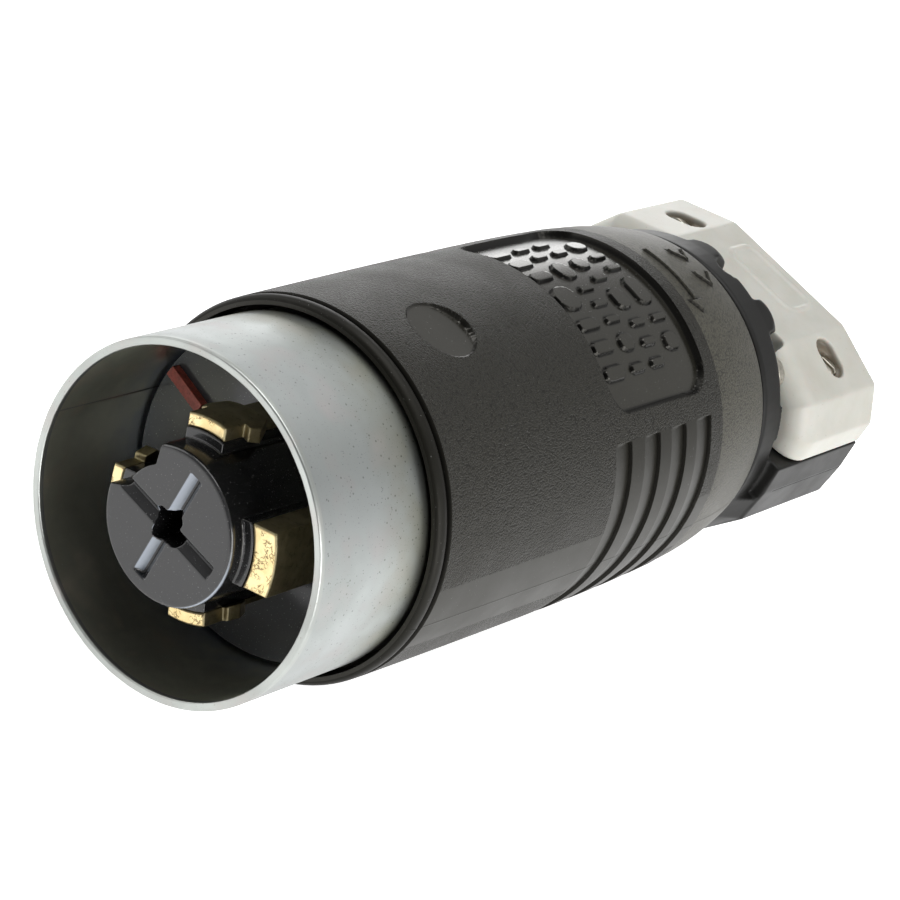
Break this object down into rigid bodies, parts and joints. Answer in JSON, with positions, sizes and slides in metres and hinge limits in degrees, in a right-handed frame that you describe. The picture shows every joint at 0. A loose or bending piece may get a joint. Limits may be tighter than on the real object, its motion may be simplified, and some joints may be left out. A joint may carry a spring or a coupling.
{
  "type": "shrouded locking power plug",
  "caption": "Heavy-duty round locking cable plug: open steel shroud around hooked brass contacts, grained black grip and a screw cord clamp.",
  "frame": {"origin": "centre of the steel shroud's open rim", "axes": "-Y is the mating side, +Y the cable side, +Z through the rating panel and the pale clamp half"},
  "size_m": [0.0616, 0.156, 0.0616],
  "materials": {
    "zinc_steel": "dull bright zinc plate with fine specks",
    "phenolic_black": "moulded phenolic, semi-gloss",
    "red_fibre": "red-brown fibre bar",
    "brass": "plain brass, lightly tarnished",
    "plated_screws": "zinc-plated steel",
    "grip_black": "leather-grained black nylon",
    "clamp_black": "smooth black nylon",
    "clamp_ivory": "ivory nylon, satin"
  },
  "bodies": {
    "plug_body": {"steel_shroud": "zinc_steel", "contact_carrier": "phenolic_black", "key_strip": "red_fibre", "terminal_barrier": "phenolic_black", "ground_strap": "plated_screws", "ground_rivet": "plated_screws", "grip_body": "grip_black", "clamp_base": "clamp_black", "clamp_nuts": "plated_screws", "assembly_screws": "plated_screws", "contact_1": "brass", "contact_2": "brass", "contact_3": "brass", "contact_4": "brass"},
    "clamp_cover": {"clamp_cover": "clamp_ivory"},
    "clamp_screw_left": {"clamp_screw_left": "plated_screws"},
    "clamp_screw_right": {"clamp_screw_right": "plated_screws"},
    "pressure_plate_1": {"pressure_plate_1": "plated_screws"},
    "terminal_screw_1": {"terminal_screw_1": "plated_screws"},
    "pressure_plate_2": {"pressure_plate_2": "plated_screws"},
    "terminal_screw_2": {"terminal_screw_2": "plated_screws"},
    "pressure_plate_3": {"pressure_plate_3": "plated_screws"},
    "terminal_screw_3": {"terminal_screw_3": "plated_screws"},
    "pressure_plate_4": {"pressure_plate_4": "plated_screws"},
    "terminal_screw_4": {"terminal_screw_4": "plated_screws"}
  },
  "joints": [
    {"name": "clamp_slide", "type": "slide", "parent": "plug_body", "child": "clamp_cover", "axis": [0, 0, 1], "range_m": [0, 0.004]},
    {"name": "clamp_screw_left_turn", "type": "hinge", "parent": "clamp_cover", "child": "clamp_screw_left", "pos_m": [-0.0188, 0.1456, 0.012], "axis": [0, 0, 1], "range_deg": [0, 1814.6]},
    {"name": "clamp_screw_right_turn", "type": "hinge", "parent": "clamp_cover", "child": "clamp_screw_right", "pos_m": [0.0188, 0.1456, 0.012], "axis": [0, 0, 1], "range_deg": [0, 1814.6]},
    {"name": "terminal_1_press", "type": "slide", "parent": "plug_body", "child": "pressure_plate_1", "axis": [0.3827, 0, -0.9239], "range_m": [0, 0.0032]},
    {"name": "terminal_1_turn", "type": "hinge", "parent": "pressure_plate_1", "child": "terminal_screw_1", "pos_m": [-0.00746, 0.0515, 0.01802], "axis": [0.3827, 0, -0.9239], "range_deg": [0, 1451.9]},
    {"name": "terminal_2_press", "type": "slide", "parent": "plug_body", "child": "pressure_plate_2", "axis": [-0.9205, 0, -0.3907], "range_m": [0, 0.0032]},
    {"name": "terminal_2_turn", "type": "hinge", "parent": "pressure_plate_2", "child": "terminal_screw_2", "pos_m": [0.01795, 0.0515, 0.00762], "axis": [-0.9205, 0, -0.3907], "range_deg": [0, 1451.9]},
    {"name": "terminal_3_press", "type": "slide", "parent": "plug_body", "child": "pressure_plate_3", "axis": [-0.5, 0, 0.866], "range_m": [0, 0.0032]},
    {"name": "terminal_3_turn", "type": "hinge", "parent": "pressure_plate_3", "child": "terminal_screw_3", "pos_m": [0.00975, 0.0515, -0.01689], "axis": [-0.5, 0, 0.866], "range_deg": [0, 1451.9]},
    {"name": "terminal_4_press", "type": "slide", "parent": "plug_body", "child": "pressure_plate_4", "axis": [0.9063, 0, 0.4226], "range_m": [0, 0.0032]},
    {"name": "terminal_4_turn", "type": "hinge", "parent": "pressure_plate_4", "child": "terminal_screw_4", "pos_m": [-0.01767, 0.0515, -0.00824], "axis": [0.9063, 0, 0.4226], "range_deg": [0, 1451.9]}
  ],
  "couplings": [
    {"joint": "clamp_screw_left_turn", "follows": "clamp_slide", "rad_per_m": 7913.3},
    {"joint": "clamp_screw_right_turn", "follows": "clamp_slide", "rad_per_m": 7913.3},
    {"joint": "terminal_1_turn", "follows": "terminal_1_press", "rad_per_m": 7913.3},
    {"joint": "terminal_2_turn", "follows": "terminal_2_press", "rad_per_m": 7913.3},
    {"joint": "terminal_3_turn", "follows": "terminal_3_press", "rad_per_m": 7913.3},
    {"joint": "terminal_4_turn", "follows": "terminal_4_press", "rad_per_m": 7913.3}
  ]
}
